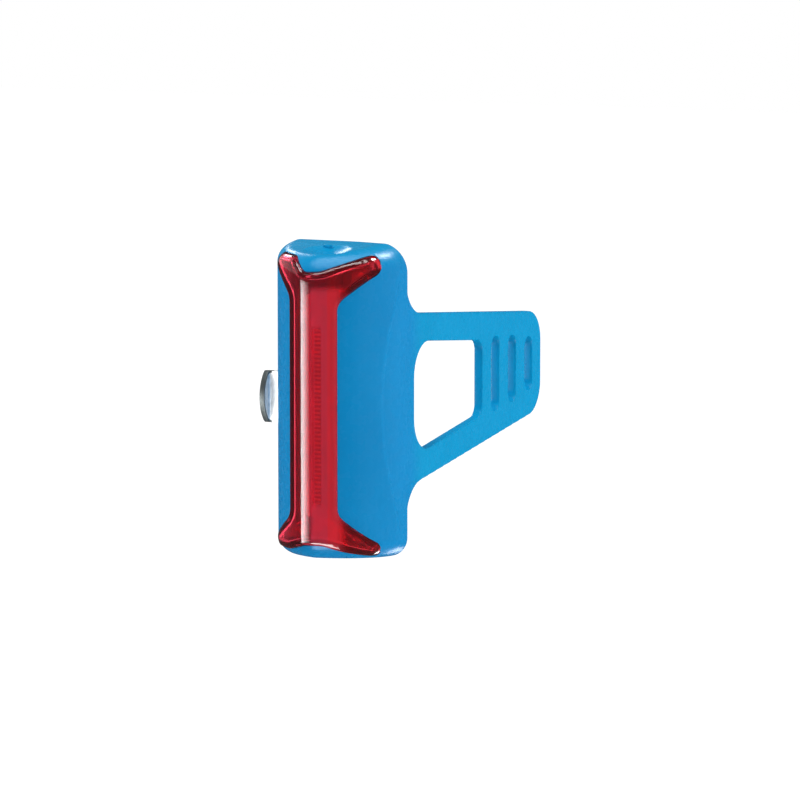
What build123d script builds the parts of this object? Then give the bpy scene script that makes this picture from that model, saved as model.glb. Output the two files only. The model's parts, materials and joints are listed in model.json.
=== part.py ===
from build123d import *
import math
import os

os.makedirs("parts", exist_ok=True)

# Rear light with a one-piece silicone boot and strap, millimetres.
# X is across the light, +Y runs back towards the seat post, +Z is up.
# The origin is where the post touches the middle of the hollow back.

# Body form
body_height = 74.0          # top to bottom at the back
body_width = 30.4           # at the widest line
flank_radius = 21.9         # each flank is one arc in plan
nose_radius = 5.5           # rounds the two flanks into each other in front
back_depth = 3.0            # from the widest line back to the flat of the back
back_corner_radius = 2.0
end_slope = 5.0             # degrees, top and bottom faces drop towards the front
end_front_radius = 6.0      # where they turn down into the front
outline_radius = 7.0        # corners of the body seen from the front

# Saddle that sits on the seat post
saddle_radius = 16.0
saddle_depth = 1.2

# Silicone boot and hard case
boot_wall = 2.0
boot_fit = 0.05             # the boot hugs the case
case_wall = 1.5
case_split = 5.5            # parting plane, forward of the widest line
seal_width = 0.7
seal_depth = 0.6
seal_inset = 0.4            # from the outside of the case

# Lens, a bar with a flared wing at each end
lens_proud = 1.0            # stands this far out of the boot
lens_wall = 1.4
window_clearance = 0.1
bar_width = 11.9
neck_drop = 11.8            # where the wings leave the bar, below the top of the body
neck_radius = 4.0
wing_reach = 13.2           # tip of a wing, sideways
wing_tip_drop = 4.7
wing_tip_radius = 1.0
wing_back = 9.3             # back of the tips, forward of the widest line
wing_top_reach = 10.8       # upper corner of a wing
wing_top_drop = 1.9
wing_top_radius = 1.6
crown_half_width = 3.0      # level part between the wings
crown_drop = 5.1
crown_radius = 5.0

# Strap, moulded straight back from the right side
strap_thickness = 2.4
strap_root_drop = 6.0       # top of the flare, below the top of the body
strap_root_step = 0.9       # the flare starts this far behind the widest line
strap_root_radius = 9.5
strap_length = 83.8         # from the widest line to the end
strap_shoulder = 10.2       # fall of each edge from the flare to the arms
strap_end_height = 24.4     # height that the taper reaches at the end
strap_end_radius = 8.0
opening_front = 5.7         # the hole between the arms, from the widest line
opening_back = 46.5
opening_front_height = 27.2
opening_back_height = 18.2
opening_front_radius = 8.0
opening_back_radius = 3.0
slot_width = 5.15
slot_heights = (18.4, 16.4, 13.3)
slot_first = 54.65          # centre of the first slot, from the widest line
slot_pitch = 10.55
bend_places = (24.7, 37.0, 49.3, 59.9)   # bend lines, from the widest line
bend_clearance = 0.1

# Sheet steel hook on the left side
hook_sheet = 1.2
hook_reach = 21.0           # outside of the lip from the middle of the body
hook_inner_end = 7.2
hook_height = 12.3
hook_centre = -0.8          # below the middle of the body
hook_lip = 4.0              # the lip, measured from the back of the sheet
hook_bend = 0.6             # inside radius
hook_corner = 1.2
hook_slit_clearance = 0.1
hook_window_clearance = 0.3 # round the heads of its screws
hook_screw_x = 10.2
hook_screw_gap = 6.4

# Screws
screw_diameter = 1.6
screw_head_diameter = 3.0
screw_head_height = 0.9
screw_hole_clearance = 0.05
screw_bite = 4.0            # length in the far piece
boss_diameter = 3.8
boss_x = 8.3
boss_drop = 7.0             # below the top of the body

# Main board
board_thickness = 1.0
board_front = 8.0           # its front face, forward of the widest line
board_width = 17.4
board_boss_gap = 1.1        # from the ends of the wide part to the bosses
board_neck_width = 10.6
board_neck_gap = 0.9        # from the ends of the necks to the top of the switch
board_screw_x = 6.2
board_screw_inset = 6.0     # from the ends of the wide part
board_screw_bite = 4.0
board_post_diameter = 3.6

# Parts on the board
chip_size = 3.6
chip_height = 0.9
chip_z = -8.0
coil_size = 4.0
coil_height = 1.8
coil_z = -13.0
side_part_x = 6.2
small_part_length = 1.6
small_part_width = 0.8
small_part_pitch = 2.6
small_part_count = 5
small_part_z = 1.0
charge_led_height = 0.6
charge_led_x = 4.7
charge_led_inset = 2.1      # from the lower end of the board

# LED strip, its board and the carrier that lifts it off the main board
led_board_width = 7.6
led_board_overhang = 1.0    # past each end of the carrier
led_board_thickness = 1.0
led_bead_width = 2.6
led_bead_inset = 2.5        # from the ends of its board
led_bead_height = 0.8
carrier_depth = 5.0
carrier_width = 7.0
carrier_gap = 1.9           # from its ends to the switch
carrier_wall = 1.0

# Battery
battery_thickness = 5.0
battery_width = 20.0
battery_length = 40.0
battery_middle = -4.0       # centre height
battery_corner = 1.5
pad_thickness = 0.5
pad_margin = 2.0

# Wires
wire_diameter = 0.7
wire_gap = 3.0              # between the two battery wires
battery_wire_rise = 3.0
wire_bend = 1.2
led_wire_bend = 0.6
led_wire_x = 4.9
led_wire_z = 18.0
led_wire_gap = 3.0

# Switch and button
switch_width = 6.0
switch_depth = 3.6
switch_height = 3.5
switch_drop = 6.6           # top of the switch, below the top of the body
stem_diameter = 2.4
stem_length = 1.6
stem_socket = 1.2
stem_exposed = 1.0
stem_clearance = 0.05
plunger_diameter = 3.6
plunger_clearance = 0.1
button_diameter = 9.6
button_clearance = 0.3
button_travel = 0.4
button_spare = 0.15         # space left under the pad when it is pressed
dimple_diameter = 11.0
dimple_depth = 1.0
nub_length = 3.0
nub_width = 0.7
nub_height = 0.3
nub_back = 2.6              # behind the middle of the button

# Charging port
port_width = 7.5
port_height = 2.6
port_depth = 5.0
port_drop = 5.2             # mouth of the socket, above the bottom of the body
port_shell = 0.3
port_tongue_height = 0.6
port_tongue_width = 6.0
port_tongue_end = 0.6
port_hole_width = 8.8
port_hole_height = 3.6
plug_width = 13.0
plug_front = 14.0           # lid from here to its hinge, from the widest line
plug_hinge = 5.5
plug_clearance = 0.3
plug_lid_gap = 0.35         # under the lid
plug_insert_width = 7.8
plug_insert_height = 2.4
plug_insert_depth = 1.9

# Places that follow from the sizes above
half_width = body_width / 2
half_height = body_height / 2
neck_height = half_height - neck_drop
wing_tip_height = half_height - wing_tip_drop
wing_top_height = half_height - wing_top_drop
crown_height = half_height - crown_drop
strap_root_height = body_height - 2 * strap_root_drop
strap_front_height = strap_root_height - 2 * strap_shoulder
boss_z = half_height - boss_drop
switch_top = half_height - switch_drop
port_mouth = half_height - port_drop
board_length = 2 * (boss_z - boss_diameter / 2 - board_boss_gap)
board_neck_end = switch_top + board_neck_gap
board_screw_z = board_length / 2 - board_screw_inset
carrier_length = 2 * (switch_top - switch_height - carrier_gap)
led_board_length = carrier_length + 2 * led_board_overhang
led_bead_length = led_board_length - 2 * led_bead_inset
charge_led_z = charge_led_inset - board_neck_end
wide_y = saddle_depth - back_depth
back_y = saddle_depth
split_y = wide_y - case_split
arc_x = half_width - flank_radius
nose_y = wide_y - math.sqrt((flank_radius - nose_radius) ** 2 - arc_x ** 2)
front_y = nose_y - nose_radius
slope = math.radians(end_slope)
core_inset = boot_wall + boot_fit
hollow_inset = core_inset + case_wall
strap_x = half_width - strap_thickness / 2
strap_taper = (strap_front_height - strap_end_height) / 2 / strap_length
board_front_y = wide_y - board_front
board_back_y = board_front_y + board_thickness
carrier_front_y = board_front_y - carrier_depth
led_board_front_y = carrier_front_y - led_board_thickness
case_back_y = back_y - core_inset
case_floor_y = back_y - hollow_inset
battery_back_y = case_floor_y - pad_thickness
battery_front_y = battery_back_y - battery_thickness
button_y = board_front_y - switch_depth / 2
button_lift = button_travel + button_spare
port_y = board_front_y - port_height / 2
reach = 2 * body_height     # longer than any cut has to be


def end_height(y, inset=0.0):
    """Height of the sloping top face above the middle, at depth y."""
    return half_height - math.tan(slope) * (back_y - y) - inset / math.cos(slope)


def rounded(points, radii):
    """A flat outline through the points, each corner with its own radius."""
    return make_face(FilletPolyline(*points, radius=list(radii), close=True))


def block(x0, x1, y0, y1, z0, z1):
    """A box between two corners."""
    return Pos((x0 + x1) / 2, (y0 + y1) / 2, (z0 + z1) / 2) * Box(x1 - x0, y1 - y0, z1 - z0)


def rod(x, y, z, diameter, length, axis):
    """A round bar that starts at a point and runs along an axis."""
    return extrude(Plane((x, y, z), z_dir=axis) * Circle(diameter / 2), length)


# Forms

def plan_form(inset):
    """The body's plan, two flank arcs and a rounded nose, as a tall prism."""
    radius = flank_radius - inset
    share = radius / (flank_radius - nose_radius)
    side = half_width - inset
    back = back_y - inset
    join = Vector(arc_x * (1 - share), wide_y + (nose_y - wide_y) * share)
    middle = math.atan2(join.Y - wide_y, join.X - arc_x) / 2
    half_way = Vector(arc_x + radius * math.cos(middle), wide_y + radius * math.sin(middle))
    tip = Vector(0, front_y + inset)
    lines = [
        Line((-side, back), (side, back)),
        Line((side, back), (side, wide_y)),
        ThreePointArc((side, wide_y), half_way, join),
        ThreePointArc(join, tip, Vector(-join.X, join.Y)),
        ThreePointArc(Vector(-join.X, join.Y), Vector(-half_way.X, half_way.Y), (-side, wide_y)),
        Line((-side, wide_y), (-side, back)),
    ]
    face = make_face(lines)
    corner = back_corner_radius - inset
    if corner > boot_fit:
        face = fillet(face.vertices().sort_by(Axis.Y)[-2:], corner)
    return Pos(0, 0, -reach / 2) * extrude(face, reach)


def side_form(inset):
    """The body seen from the side, with its sloping ends, as a wide prism."""
    front = front_y + inset
    back = back_y - inset
    top_front = end_height(front, inset)
    top_back = end_height(back, inset)
    turn = end_front_radius - inset
    face = rounded(
        [(front, -top_front), (front, top_front), (back, top_back), (back, -top_back)],
        [turn, turn, 0, 0],
    )
    return Pos(-reach / 2, 0, 0) * extrude(Plane.YZ * face, reach)


def front_form(inset):
    """The body seen from the front, as a deep prism."""
    face = RectangleRounded(
        2 * (half_width - inset), 2 * (half_height - inset), outline_radius - inset
    )
    return Pos(0, reach / 2, 0) * extrude(Plane.XZ * face, reach)


def body_form(inset):
    """The body's whole form, drawn in from its outside by the inset."""
    return plan_form(inset) & side_form(inset) & front_form(inset)


def lens_outline(grow):
    """The bar and its four wings, seen from the front."""
    bar = bar_width / 2
    quarter = [
        (bar, neck_height, neck_radius),
        (wing_reach, wing_tip_height, wing_tip_radius),
        (wing_top_reach, wing_top_height, wing_top_radius),
        (crown_half_width, crown_height, crown_radius),
    ]
    loop = quarter + [(-x, z, r) for x, z, r in reversed(quarter)]
    loop += [(-x, -z, r) for x, z, r in quarter] + [(x, -z, r) for x, z, r in reversed(quarter)]
    face = rounded([(x, z) for x, z, r in loop], [r for x, z, r in loop])
    return offset(face, grow) if grow else face


def lens_prism(grow):
    """The lens outline run forward from the back of the wing tips."""
    face = Plane.XZ * lens_outline(grow)
    return Pos(0, wide_y - wing_back + grow, 0) * extrude(face, reach)


def ahead_of(y):
    """Everything in front of a plane across the light."""
    return block(-reach, reach, y - reach, y, -reach, reach)


# Strap, drawn from the side as one blank and then parted at its bend lines

def strap_edge(y):
    """Half height of the strap at a distance behind the widest line."""
    return strap_front_height / 2 - strap_taper * y


def strap_blank():
    root = strap_root_height / 2
    start = strap_root_step - back_corner_radius
    outline = rounded(
        [
            (start, root), (strap_root_step, root),
            (strap_root_step, strap_edge(strap_root_step)),
            (strap_length, strap_edge(strap_length)),
            (strap_length, -strap_edge(strap_length)),
            (strap_root_step, -strap_edge(strap_root_step)),
            (strap_root_step, -root), (start, -root),
        ],
        [0, 0, strap_root_radius, strap_end_radius, strap_end_radius, strap_root_radius, 0, 0],
    )
    hole = rounded(
        [
            (opening_front, opening_front_height / 2), (opening_back, opening_back_height / 2),
            (opening_back, -opening_back_height / 2), (opening_front, -opening_front_height / 2),
        ],
        [opening_front_radius, opening_back_radius, opening_back_radius, opening_front_radius],
    )
    face = outline - hole
    for number, height in enumerate(slot_heights):
        face -= Pos(slot_first + number * slot_pitch, 0) * SlotOverall(height, slot_width, rotation=90)
    blank = extrude(Plane.YZ * face, strap_thickness)
    return Pos(half_width - strap_thickness, wide_y, 0) * blank


def strap_stretch(blank, first, last):
    """The strap between two bend lines: a hollow start and a round end."""
    piece = blank
    if first is not None:
        start = wide_y + bend_places[first]
        hollow = strap_thickness + 2 * bend_clearance
        piece = piece & block(0, reach, start, start + reach, -reach, reach)
        piece = piece - rod(strap_x, start, -body_height, hollow, 2 * body_height, (0, 0, 1))
    if last is not None:
        end = wide_y + bend_places[last]
        knuckle = blank & rod(strap_x, end, -body_height, strap_thickness, 2 * body_height, (0, 0, 1))
        piece = (piece & block(0, reach, end - reach, end, -reach, reach)) + knuckle
    return piece


# Boot, with the flare and the first stretch of the strap

def dimple():
    """The ball that hollows the top where the thumb presses."""
    radius = (dimple_diameter ** 2 / 4 + dimple_depth ** 2) / (2 * dimple_depth)
    lift = radius - dimple_depth
    top = end_height(button_y)
    return Pos(0, button_y - lift * math.sin(slope), top + lift * math.cos(slope)) * Sphere(radius)


def make_boot(blank):
    boot = body_form(0) - body_form(boot_wall)
    boot -= lens_prism(window_clearance) - plan_form(core_inset + window_clearance)
    boot -= rod(0, saddle_radius, -reach / 2, 2 * saddle_radius, reach, (0, 0, 1))
    boot -= rod(0, button_y, 0, button_diameter + 2 * button_clearance, body_height, (0, 0, 1))
    boot -= dimple()
    boot -= plug_space(plug_clearance)
    slit = hook_height / 2 + hook_slit_clearance
    boot -= block(
        -reach, -hook_inner_end + hook_slit_clearance,
        case_back_y - boot_fit, case_back_y + hook_sheet + hook_slit_clearance,
        hook_centre - slit, hook_centre + slit,
    )
    for z in hook_screw_heights():
        boot -= rod(
            -hook_screw_x, case_back_y, z, screw_head_diameter + 2 * hook_window_clearance,
            hook_sheet / 2 + screw_head_height, (0, 1, 0),
        )
    return boot + (strap_stretch(blank, None, 0) - body_form(boot_wall))


# Hard case: the lens is its front half

def boss(x, z, y0, y1):
    return rod(x, y1, z, boss_diameter, y1 - y0, (0, -1, 0))


def corner_places():
    return [(x, z) for x in (-boss_x, boss_x) for z in (-boss_z, boss_z)]


def screw_tip_y():
    return split_y - screw_bite


def make_lens():
    core = body_form(core_inset) & ahead_of(split_y)
    raised = (lens_prism(0) & body_form(-lens_proud)) - plan_form(core_inset)
    hollow = body_form(hollow_inset)
    window = lens_prism(-lens_wall) & body_form(lens_wall - lens_proud)
    lens = core + raised - hollow - window
    posts = Compound([boss(x, z, screw_tip_y() - screw_diameter, split_y) for x, z in corner_places()])
    lens += posts & body_form(core_inset + boot_fit)
    for x, z in corner_places():
        lens -= rod(x, split_y, z, screw_diameter + 2 * screw_hole_clearance, screw_bite, (0, -1, 0))
    lens -= rod(0, button_y, 0, plunger_diameter + 2 * plunger_clearance, body_height, (0, 0, 1))
    lens -= block(
        -port_hole_width / 2, port_hole_width / 2, port_y - port_hole_height / 2,
        port_y + port_hole_height / 2, -half_height, -port_mouth + port_shell,
    )
    return lens


def make_case_back():
    shell = body_form(core_inset) - body_form(hollow_inset) - ahead_of(split_y)
    posts = Compound([boss(x, z, split_y, case_floor_y) for x, z in corner_places()])
    posts += Compound([
        rod(x, case_floor_y, z, board_post_diameter, case_floor_y - board_back_y, (0, -1, 0))
        for x, z in board_screw_places()
    ])
    shell += posts
    shell -= seal_ring(boot_fit)
    for x, z in corner_places():
        shell -= rod(x, case_back_y, z, screw_diameter + 2 * screw_hole_clearance, reach, (0, -1, 0))
        shell -= rod(
            x, case_back_y, z, screw_head_diameter + 2 * screw_hole_clearance, screw_head_height, (0, -1, 0)
        )
    for x, z in board_screw_places():
        shell -= rod(
            x, board_back_y, z, screw_diameter + 2 * screw_hole_clearance, board_screw_bite, (0, 1, 0)
        )
    for z in hook_screw_heights():
        shell -= rod(
            -hook_screw_x, case_back_y, z, screw_diameter + 2 * screw_hole_clearance, case_wall, (0, -1, 0)
        )
    return shell


def seal_ring(room):
    """The cord seal in the rim of the rear half, or its groove when given room."""
    ring = body_form(core_inset + seal_inset - room) - body_form(core_inset + seal_inset + seal_width + room)
    return ring & block(-reach, reach, split_y, split_y + seal_depth + room, -reach, reach)


# Screws

def screw(x, y, z, length):
    """A pan head screw, driven forwards, with its head seated at y."""
    head = rod(x, y, z, screw_head_diameter, screw_head_height, (0, 1, 0))
    shank = rod(x, y, z, screw_diameter, length, (0, -1, 0))
    cross = block(
        x - screw_head_diameter / 4, x + screw_head_diameter / 4,
        y + screw_head_height / 2, y + screw_head_height,
        z - screw_diameter / 8, z + screw_diameter / 8,
    )
    slots = cross + Pos(x, 0, z) * Rot(0, 90, 0) * Pos(-x, 0, -z) * cross
    return head + shank - slots


def make_case_screws():
    seat = case_back_y - screw_head_height
    length = seat - screw_tip_y() - screw_hole_clearance
    return Compound([screw(x, seat, z, length) for x, z in corner_places()])


def board_screw_places():
    return [(x, board_screw_z) for x in (-board_screw_x, board_screw_x)]


def make_board_screws():
    """Two screws from the front through the board into the posts."""
    pieces = []
    for x, z in board_screw_places():
        piece = screw(x, 0, z, board_thickness + board_screw_bite - screw_hole_clearance)
        pieces.append(Pos(0, board_front_y, 0) * Pos(x, 0, z) * Rot(0, 0, 180) * Pos(-x, 0, -z) * piece)
    return Compound(pieces)


def hook_screw_heights():
    return [hook_centre + side * hook_screw_gap / 2 for side in (-1, 1)]


def make_hook_screws():
    """Low heads, half sunk in the sheet, that stop at the inside of the case."""
    seat = case_back_y + hook_sheet / 2
    length = hook_sheet / 2 + case_wall - screw_hole_clearance
    return Compound([screw(-hook_screw_x, seat, z, length) for z in hook_screw_heights()])


def make_hook():
    front = case_back_y
    back = front + hook_sheet
    tip = back - hook_lip
    profile = rounded(
        [
            (-hook_inner_end, front), (-hook_inner_end, back), (-hook_reach, back),
            (-hook_reach, tip), (-hook_reach + hook_sheet, tip), (-hook_reach + hook_sheet, front),
        ],
        [0, 0, hook_bend + hook_sheet, 0, 0, hook_bend],
    )
    hook = Pos(0, 0, hook_centre - hook_height / 2) * extrude(profile, hook_height)
    rise = hook_lip - hook_sheet
    lip_round = (hook_height ** 2 / 4 + rise ** 2) / (2 * rise)
    hook &= rod(-hook_reach, tip + lip_round, hook_centre, 2 * lip_round, hook_reach, (1, 0, 0))
    hook = fillet([
        e for e in hook.edges().filter_by(Axis.Y) if abs(e.center().X + hook_inner_end) < boot_fit
    ], hook_corner)
    for z in hook_screw_heights():
        hook -= rod(
            -hook_screw_x, front, z, screw_diameter + 2 * screw_hole_clearance, hook_sheet, (0, 1, 0)
        )
        hook -= rod(
            -hook_screw_x, back, z, screw_head_diameter + 2 * screw_hole_clearance,
            hook_sheet / 2, (0, -1, 0),
        )
    return hook


# Electronics

def make_main_board():
    body = block(
        -board_width / 2, board_width / 2, board_front_y, board_back_y, -board_length / 2, board_length / 2
    )
    neck = block(
        -board_neck_width / 2, board_neck_width / 2, board_front_y, board_back_y,
        -board_neck_end, board_neck_end,
    )
    board = body + neck
    for x, z in board_screw_places():
        board -= rod(
            x, board_front_y, z, screw_diameter + 2 * screw_hole_clearance, board_thickness, (0, 1, 0)
        )
    return board


def on_board(x, z, width, height, length):
    """A block that sits on the front face of the main board."""
    return block(
        x - width / 2, x + width / 2, board_front_y - height, board_front_y, z - length / 2, z + length / 2
    )


def make_small_parts():
    places = [
        (side * side_part_x, small_part_z + number * small_part_pitch)
        for side in (-1, 1) for number in range(small_part_count)
    ]
    return Compound([
        on_board(x, z, small_part_length, small_part_width, small_part_width) for x, z in places
    ])


def make_carrier():
    outer = on_board(0, 0, carrier_width, carrier_depth, carrier_length)
    pocket = on_board(
        0, 0, carrier_width - 2 * carrier_wall, carrier_depth - carrier_wall,
        carrier_length - 2 * carrier_wall,
    )
    return outer - pocket


def make_led_board():
    face = RectangleRounded(led_board_width, led_board_length, carrier_wall)
    return Pos(0, carrier_front_y, 0) * extrude(Plane.XZ * face, led_board_thickness)


def make_led_bead():
    face = SlotOverall(led_bead_length, led_bead_width, rotation=90)
    bead = Pos(0, led_board_front_y, 0) * extrude(Plane.XZ * face, led_bead_height)
    front = bead.faces().sort_by(Axis.Y)[0]
    return fillet(front.edges(), led_bead_height / 2)


def wire(points, bend):
    """A round wire along straight runs and tangent bends."""
    path = FilletPolyline(*points, radius=bend)
    section = Plane(path @ 0, z_dir=path % 0) * Circle(wire_diameter / 2)
    return sweep(section, path)


def make_battery_leads():
    top = battery_middle + battery_length / 2
    middle = (battery_back_y + battery_front_y) / 2
    return Compound([
        wire(
            [
                (side * wire_gap / 2, middle, top), (side * wire_gap / 2, middle, top + battery_wire_rise),
                (side * wire_gap / 2, board_back_y, top + battery_wire_rise),
            ],
            wire_bend,
        )
        for side in (-1, 1)
    ])


def make_led_leads():
    middle = carrier_front_y - led_board_thickness / 2
    edge = led_board_width / 2
    return Compound([
        wire([(led_wire_x, board_front_y, z), (led_wire_x, middle, z), (edge, middle, z)], led_wire_bend)
        for z in (led_wire_z, led_wire_z - led_wire_gap)
    ])


def make_battery():
    cell = block(
        -battery_width / 2, battery_width / 2, battery_front_y, battery_back_y,
        battery_middle - battery_length / 2, battery_middle + battery_length / 2,
    )
    return fillet(cell.edges().filter_by(Axis.Z), battery_corner)


def make_battery_pad():
    width = battery_width - 2 * pad_margin
    length = battery_length - 2 * pad_margin
    return block(
        -width / 2, width / 2, battery_back_y, case_floor_y,
        battery_middle - length / 2, battery_middle + length / 2,
    )


# Switch and button

def make_switch_body():
    body = on_board(0, switch_top - switch_height / 2, switch_width, switch_depth, switch_height)
    return body - rod(
        0, button_y, switch_top, stem_diameter + 2 * stem_clearance, stem_socket, (0, 0, -1)
    )


def stem_top():
    return switch_top + stem_exposed


def make_switch_stem():
    return rod(0, button_y, stem_top(), stem_diameter, stem_length, (0, 0, -1))


def pad_inset():
    return core_inset - button_lift


def make_plunger():
    post = rod(0, button_y, stem_top(), plunger_diameter, half_height, (0, 0, 1))
    return post & body_form(pad_inset())


def make_button_pad():
    disc = rod(0, button_y, switch_top, button_diameter, half_height, (0, 0, 1))
    pad = (disc & body_form(0)) - body_form(pad_inset()) - dimple()
    foot = Plane(
        (0, button_y + nub_back, end_height(button_y + nub_back) - dimple_depth),
        z_dir=(0, -math.sin(slope), math.cos(slope)),
    )
    nub = extrude(foot * SlotOverall(nub_length, nub_width), dimple_depth / 2 + nub_height)
    return pad + nub


# Charging port

def make_port_shell():
    outer = block(
        -port_width / 2, port_width / 2, port_y - port_height / 2, port_y + port_height / 2,
        -port_mouth, -port_mouth + port_depth,
    )
    inner = block(
        -port_width / 2 + port_shell, port_width / 2 - port_shell,
        port_y - port_height / 2 + port_shell, port_y + port_height / 2 - port_shell,
        -port_mouth, -port_mouth + port_depth - port_shell,
    )
    return outer - inner


def make_port_tongue():
    return block(
        -port_tongue_width / 2, port_tongue_width / 2,
        port_y - port_tongue_height / 2, port_y + port_tongue_height / 2,
        -port_mouth + port_tongue_end, -port_mouth + port_depth - port_shell,
    )


def plug_hinge_point():
    """Middle of the lid's thickness at its rounded rear end."""
    y = wide_y - plug_hinge
    return y, -end_height(y, (core_inset - plug_lid_gap) / 2)


def plug_space(room):
    """The lid's plan, run down through the bottom of the body."""
    y, z = plug_hinge_point()
    half = plug_width / 2 + room
    lid = block(-half, half, wide_y - plug_front - room, y, -body_height, -port_mouth)
    end = rod(-half, y, z, core_inset - plug_lid_gap + 2 * room, 2 * half, (1, 0, 0))
    skirt = block(
        -half, half, y, y + (core_inset - plug_lid_gap) / 2 + room, -body_height, z
    )
    return lid + end + (skirt if room else end)


def make_port_plug():
    lid = plug_space(0) & (body_form(0) - body_form(core_inset - plug_lid_gap))
    y, z = plug_hinge_point()
    foot = -end_height(port_y, core_inset - plug_lid_gap)
    insert = block(
        -plug_insert_width / 2, plug_insert_width / 2, port_y - plug_insert_height / 2,
        port_y + plug_insert_height / 2, foot - plug_lid_gap, foot + plug_insert_depth,
    )
    return lid + insert


def build():
    blank = strap_blank()
    first = strap_stretch(blank, 0, 1).solids().sort_by(Axis.Z)
    return {
        "silicone_boot": make_boot(blank),
        "strap_lower_arm": first[0],
        "strap_upper_arm": first[-1],
        "strap_yoke": strap_stretch(blank, 1, 2),
        "strap_web": strap_stretch(blank, 2, 3),
        "strap_tab": strap_stretch(blank, 3, None),
        "lens": make_lens(),
        "case_back": make_case_back(),
        "case_seal": seal_ring(0),
        "case_screws": make_case_screws(),
        "steel_hook": make_hook(),
        "hook_screws": make_hook_screws(),
        "main_board": make_main_board(),
        "board_screws": make_board_screws(),
        "control_chip": on_board(side_part_x, chip_z, chip_size, chip_height, chip_size),
        "power_coil": on_board(-side_part_x, coil_z, coil_size, coil_height, coil_size),
        "small_parts": make_small_parts(),
        "charge_led": on_board(
            charge_led_x, charge_led_z, small_part_width, charge_led_height, small_part_length
        ),
        "led_carrier": make_carrier(),
        "led_board": make_led_board(),
        "led_strip": make_led_bead(),
        "led_leads": make_led_leads(),
        "battery": make_battery(),
        "battery_pad": make_battery_pad(),
        "battery_leads": make_battery_leads(),
        "switch_body": make_switch_body(),
        "switch_stem": make_switch_stem(),
        "button_plunger": make_plunger(),
        "button_pad": make_button_pad(),
        "usb_socket": make_port_shell(),
        "usb_tongue": make_port_tongue(),
        "port_plug": make_port_plug(),
    }


for name, piece in build().items():
    export_step(piece, f"parts/{name}.step")
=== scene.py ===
import bpy
import json
import math
import numpy as np
from mathutils import Matrix, Vector


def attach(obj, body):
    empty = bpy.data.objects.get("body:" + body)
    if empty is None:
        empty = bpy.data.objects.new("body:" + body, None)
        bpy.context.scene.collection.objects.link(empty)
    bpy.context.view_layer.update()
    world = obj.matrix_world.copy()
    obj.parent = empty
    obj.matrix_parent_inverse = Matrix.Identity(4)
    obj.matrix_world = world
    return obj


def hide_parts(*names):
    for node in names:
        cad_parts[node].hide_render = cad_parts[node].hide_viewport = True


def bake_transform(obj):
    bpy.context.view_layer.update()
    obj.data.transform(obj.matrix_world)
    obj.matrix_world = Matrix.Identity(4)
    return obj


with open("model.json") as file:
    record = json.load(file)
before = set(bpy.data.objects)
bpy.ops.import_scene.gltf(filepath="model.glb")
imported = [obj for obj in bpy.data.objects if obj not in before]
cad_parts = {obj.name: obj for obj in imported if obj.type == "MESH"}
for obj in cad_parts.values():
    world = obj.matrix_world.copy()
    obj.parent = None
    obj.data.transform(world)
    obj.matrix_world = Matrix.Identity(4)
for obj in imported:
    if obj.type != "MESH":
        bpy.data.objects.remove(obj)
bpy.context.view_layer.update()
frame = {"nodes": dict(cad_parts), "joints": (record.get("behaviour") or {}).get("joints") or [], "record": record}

# Sizes of the light, metres. X is across it, +Y runs back to the seat post, +Z is up.
mm = 0.001
half_width = 15.2 * mm
half_height = 37.0 * mm
flank_radius = 21.9 * mm
nose_radius = 5.5 * mm
wide_y = -1.8 * mm
back_y = 1.2 * mm
end_slope = math.radians(5)
front_y = -22.27 * mm
top_rounding = (3.2 * mm, 7.1 * mm)        # at the left side, at the strap's side
low_rounding = (4.2 * mm, 4.6 * mm)
rounding_run = 12.0 * mm                   # from the middle to each side
least_radius = 1.2 * mm
back_radius = 2.0 * mm
boot_wall = 2.0 * mm
case_fit = 0.05 * mm
case_wall = 1.5 * mm
split_y = wide_y - 5.5 * mm
saddle_radius = 16.0 * mm

# Lens
lens_proud = 1.0 * mm
tip_proud = 0.5 * mm
tip_start = -19.0 * mm
tip_run = 6.0 * mm
lens_wall = 1.4 * mm
lens_edge = 0.75 * mm
window_gap = 0.1 * mm
wing_back_y = wide_y - 7.2 * mm
boss_x = 8.3 * mm
boss_z = 30.0 * mm
boss_front = -12.9 * mm
boss_radius = 1.9 * mm
boss_bore = (0.85 * mm, 4.0 * mm)          # radius, depth
plunger_room = 1.9 * mm

# Strap
strap_thickness = 2.4 * mm
strap_x = half_width - strap_thickness / 2
strap_edge = 0.4 * mm
strap_root_height = 20.8 * mm
strap_taper = 0.10263
root_join = 1.6 * mm
slot_width = 4.9 * mm
slot_heights = (18.4 * mm, 16.4 * mm, 13.3 * mm)
slot_places = (54.65 * mm, 65.2 * mm, 75.75 * mm)
bend_places = [joint["pos_m"][1] for joint in frame["joints"] if joint["name"].startswith("strap")]
crease_front = 8.9 * mm
crease_radius = 70.0 * mm
crease_height = 0.5 * mm
crease_run = 7.0 * mm
crease_fade = 5.0 * mm
crease_width = 1.2 * mm
face_blend = 0.3 * mm

# Button, port and hook
button_y = -11.6 * mm
dimple_diameter = 11.0 * mm
dimple_depth = 1.25 * mm
dimple_edge = 0.2 * mm
patch_radius = 5.9 * mm
nub_x = (-3.1 * mm, -0.8 * mm)
nub_y = (button_y + 3.9 * mm, button_y + 4.6 * mm)
nub_proud = 0.35 * mm
nub_edge = 0.3 * mm
pad_thickness = 1.5 * mm
pad_room_radius = 5.1 * mm
flap_y = (wide_y - 14.0 * mm, wide_y - 5.5 * mm)
flap_half_width = 6.5 * mm
flap_gap = 0.3 * mm
flap_thickness = 1.7 * mm
flap_room_top = -31.8 * mm
lid_top = -28.5 * mm
port_y = -11.1 * mm
port_half = (4.4 * mm, 1.8 * mm)
port_top = -31.5 * mm
stopper_half = (3.9 * mm, 1.2 * mm)
stopper_height = (-34.6 * mm, -31.9 * mm)

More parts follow.
